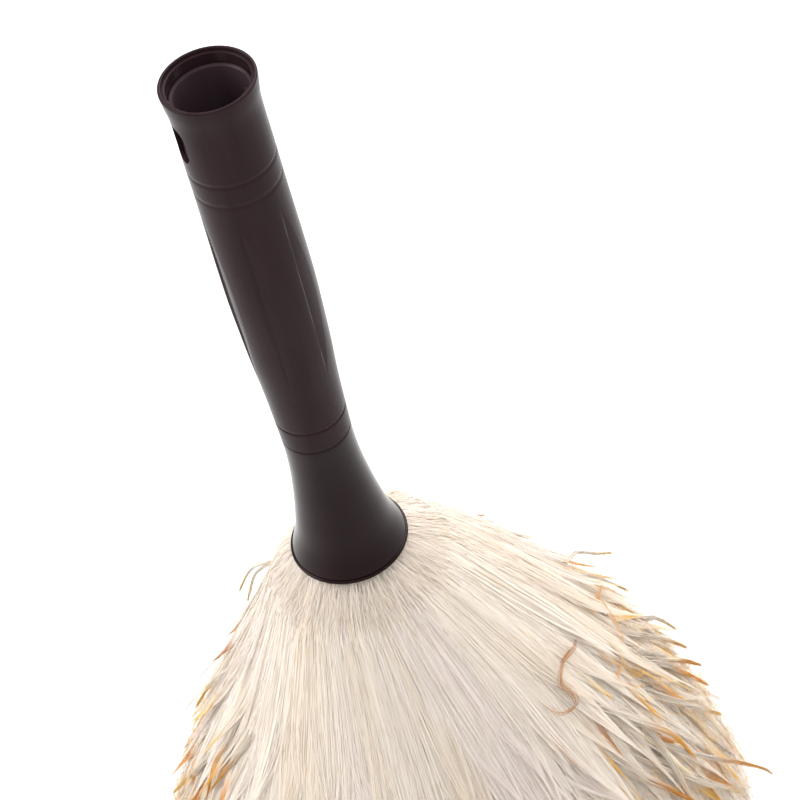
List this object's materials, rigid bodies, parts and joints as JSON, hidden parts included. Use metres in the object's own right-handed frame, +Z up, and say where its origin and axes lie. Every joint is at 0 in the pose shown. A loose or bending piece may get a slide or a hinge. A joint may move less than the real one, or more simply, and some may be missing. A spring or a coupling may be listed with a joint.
{
  "type": "wool hand duster",
  "caption": "Hand duster: flared head of long tapering wool locks on a wrapped core, bell ferrule, and a hollow fluted grip that unscrews and takes an extension pole.",
  "frame": {"origin": "middle of the head's underside, on the surface that the duster stands on", "axes": "+Z up along the handle's axis to the open mouth of the grip; the hang slot runs through the grip along X"},
  "size_m": [0.2626, 0.2626, 0.5],
  "materials": {
    "grip_plastic": "satin moulded plastic, very dark brown",
    "sleeve_plastic": "satin moulded plastic",
    "bell_plastic": "semi-gloss moulded plastic, very dark brown",
    "insert_brass": "turned",
    "spigot_steel": "zinc plated",
    "core_wood": "bare turned wood",
    "pelt": "tanned sheepskin, flesh side in",
    "binding": "waxed thread",
    "wool": "long white wool with golden tips"
  },
  "bodies": {
    "head": {"threaded_spigot": "spigot_steel", "spigot_pin": "spigot_steel", "core_dowel": "core_wood", "pelt_wrap": "pelt", "pelt_end_patch": "pelt", "binding_thread": "binding", "upper_tack_1": "spigot_steel", "upper_tack_2": "spigot_steel", "lower_tack_1": "spigot_steel", "lower_tack_2": "spigot_steel", "end_nail": "spigot_steel", "wool_tier_1": "wool", "wool_tier_2": "wool", "wool_tier_3": "wool", "wool_tier_4": "wool", "wool_tier_5": "wool", "wool_tier_6": "wool"},
    "ferrule": {"bell_ferrule": "bell_plastic"},
    "handle": {"grip_shell": "grip_plastic", "pole_socket_sleeve": "sleeve_plastic", "thread_insert": "insert_brass"}
  },
  "joints": [
    {"name": "ferrule_lift", "type": "slide", "parent": "head", "child": "ferrule", "axis": [0, 0, 1], "range_m": [0, 0.0201]},
    {"name": "handle_turn", "type": "hinge", "parent": "ferrule", "child": "handle", "pos_m": [0, 0, 0.3394], "axis": [0, 0, 1], "range_deg": [0, 1440]}
  ],
  "couplings": [
    {"joint": "ferrule_lift", "follows": "handle_turn", "m_per_rad": 0.00079577}
  ]
}
